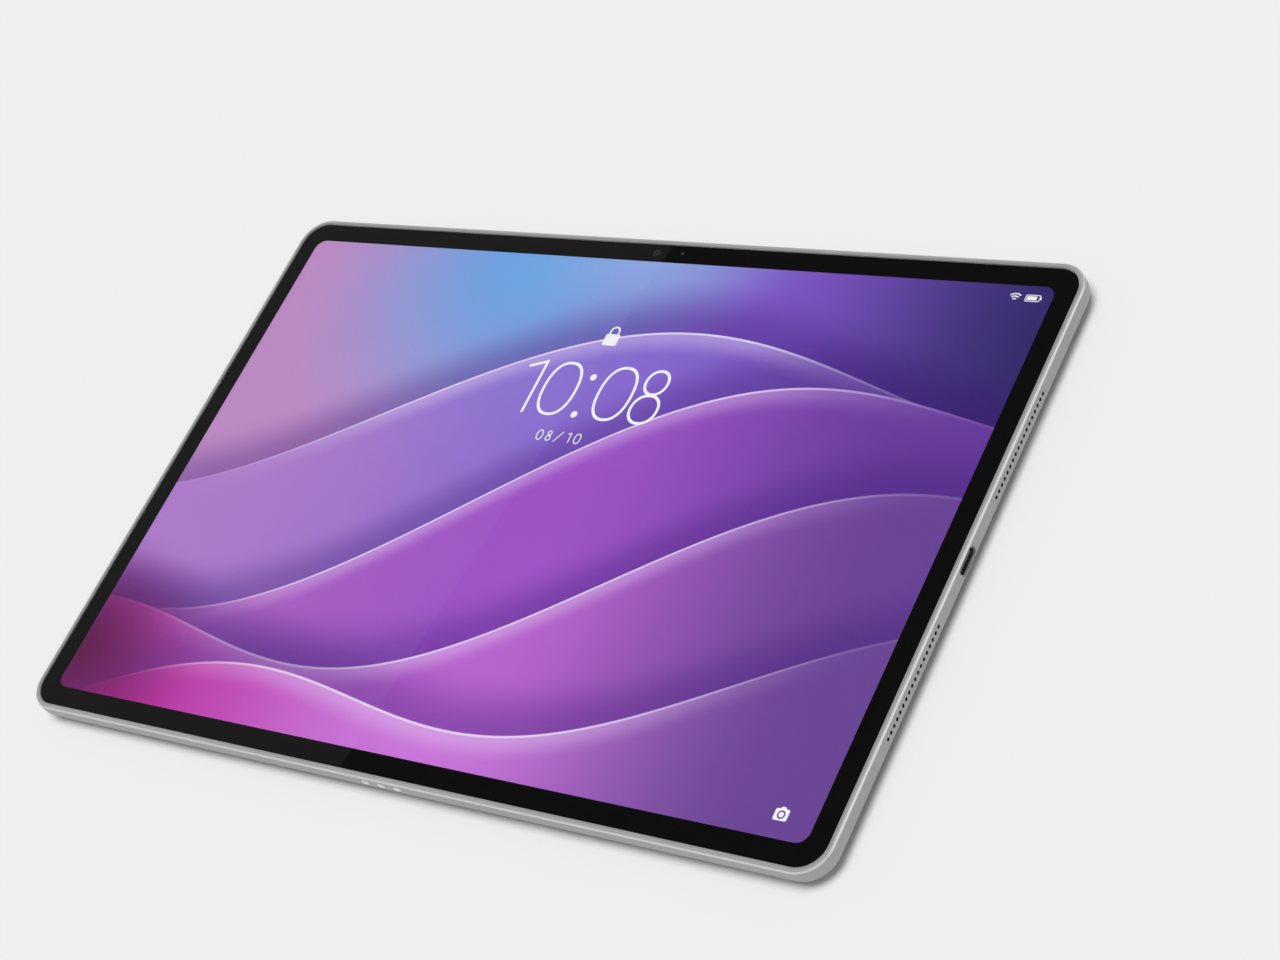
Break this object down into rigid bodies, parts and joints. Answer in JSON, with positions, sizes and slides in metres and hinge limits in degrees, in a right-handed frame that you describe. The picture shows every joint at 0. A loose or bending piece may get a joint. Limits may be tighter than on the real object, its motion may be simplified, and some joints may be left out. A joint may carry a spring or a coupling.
{
  "type": "tablet computer",
  "caption": "Slim tablet computer: glass front with a lit landscape screen, rounded aluminium case, pill-shaped rear camera island, side speaker rows, USB socket and edge dock contacts.",
  "frame": {"origin": "middle of the tablet's outline, at the height of the rear end of the camera ring, the lowest point when it lies on its back", "axes": "+Z out of the screen, +X along the long side to the right as seen from the front, +Y towards the top edge"},
  "size_m": [0.2909, 0.1883, 0.0087],
  "materials": {
    "case_metal": "fine bead-blasted and anodised, satin silver",
    "ring_metal": "diamond-cut bright edge over a satin side",
    "key_metal": "fine bead-blasted and anodised, satin silver",
    "cover_glass": "polished, clear",
    "lens_glass": "polished, coated",
    "flash_clear": "moulded clear, ribbed inside",
    "black_ink": "black print behind glass",
    "clear_film": "optically clear adhesive",
    "gasket_plastic": "smooth grey moulding",
    "black_tape": "foam tape",
    "screen": "lit liquid crystal panel, abstract violet picture",
    "guide_acrylic": "clear with printed dots",
    "tray_metal": "rolled sheet",
    "plate_metal": "stamped sheet, dull",
    "screw_steel": "zinc plated",
    "battery_pouch": "black laminated foil pouch",
    "pull_tape": "stretch-release adhesive strip",
    "board_laminate": "solder mask, dark blue-green",
    "chip_epoxy": "moulded epoxy",
    "can_steel": "tinned sheet",
    "usb_steel": "deep-drawn, satin",
    "switch_steel": "stamped sheet",
    "graphite": "rolled graphite under film",
    "flex_film": "amber polyimide",
    "black_plastic": "moulded, fine grain",
    "diaphragm_film": "formed film",
    "mesh_cloth": "woven acoustic mesh",
    "led_phosphor": "yellow phosphor on a white carrier",
    "insulator": "moulded, light grey",
    "contact_metal": "plated, satin",
    "magnet_nickel": "nickel plated",
    "boot_rubber": "moulded silicone",
    "aerial_plastic": "moulded carrier with a printed strip"
  },
  "bodies": {
    "tablet": {"aerials": "aerial_plastic", "back_housing": "case_metal", "backlight_tray": "tray_metal", "battery_board": "board_laminate", "battery_left": "battery_pouch", "battery_right": "battery_pouch", "battery_strips": "pull_tape", "bonding_film": "clear_film", "border_ink": "black_ink", "camera_flex": "flex_film", "camera_glass": "lens_glass", "camera_module": "black_plastic", "camera_plate": "case_metal", "camera_ring": "ring_metal", "card_reader": "can_steel", "cover_glass": "cover_glass", "display_flex": "flex_film", "display_tape": "black_tape", "dock_carrier": "insulator", "dock_contacts": "contact_metal", "dock_magnets": "magnet_nickel", "eject_rod": "switch_steel", "flash_led": "led_phosphor", "flash_lens": "flash_clear", "front_camera": "black_plastic", "front_lens": "lens_glass", "heat_spreader": "graphite", "lcd_panel": "screen", "lens_hood": "black_ink", "light_guide": "guide_acrylic", "light_sensor": "chip_epoxy", "link_flex": "flex_film", "main_board": "board_laminate", "memory_chips": "chip_epoxy", "mic_boot": "boot_rubber", "microphone": "can_steel", "mid_plate": "plate_metal", "power_switch": "switch_steel", "processor": "chip_epoxy", "rim_gasket": "gasket_plastic", "screws": "screw_steel", "sensor_board": "board_laminate", "shield_can_main": "can_steel", "shield_can_radio": "can_steel", "speaker_diaphragms": "diaphragm_film", "speaker_lower_left": "black_plastic", "speaker_lower_right": "black_plastic", "speaker_meshes": "mesh_cloth", "speaker_upper_left": "black_plastic", "speaker_upper_right": "black_plastic", "support_chips": "chip_epoxy", "usb_board": "board_laminate", "usb_shell": "usb_steel", "usb_tongue": "black_plastic", "volume_switch": "switch_steel"},
    "power_button": {"power_button": "key_metal"},
    "volume_key": {"volume_key": "key_metal"},
    "card_tray": {"card_tray": "key_metal"},
    "lens_barrel": {"lens_barrel": "black_plastic", "camera_lens": "lens_glass"}
  },
  "joints": [
    {"name": "power_press", "type": "slide", "parent": "tablet", "child": "power_button", "axis": [1, 0, 0], "range_m": [0, 0.00025], "stiffness_N_per_m": 6000},
    {"name": "volume_rock", "type": "hinge", "parent": "tablet", "child": "volume_key", "pos_m": [-0.117, 0.09265, 0.0062], "axis": [0, 0, 1], "range_deg": [-1.2, 1.2], "stiffness_Nm_per_rad": 0.4},
    {"name": "card_tray_slide", "type": "slide", "parent": "tablet", "child": "card_tray", "axis": [0, 1, 0], "range_m": [0, 0.016]},
    {"name": "lens_focus", "type": "slide", "parent": "tablet", "child": "lens_barrel", "axis": [0, 0, -1], "range_m": [0, 0.00025], "stiffness_N_per_m": 400}
  ]
}
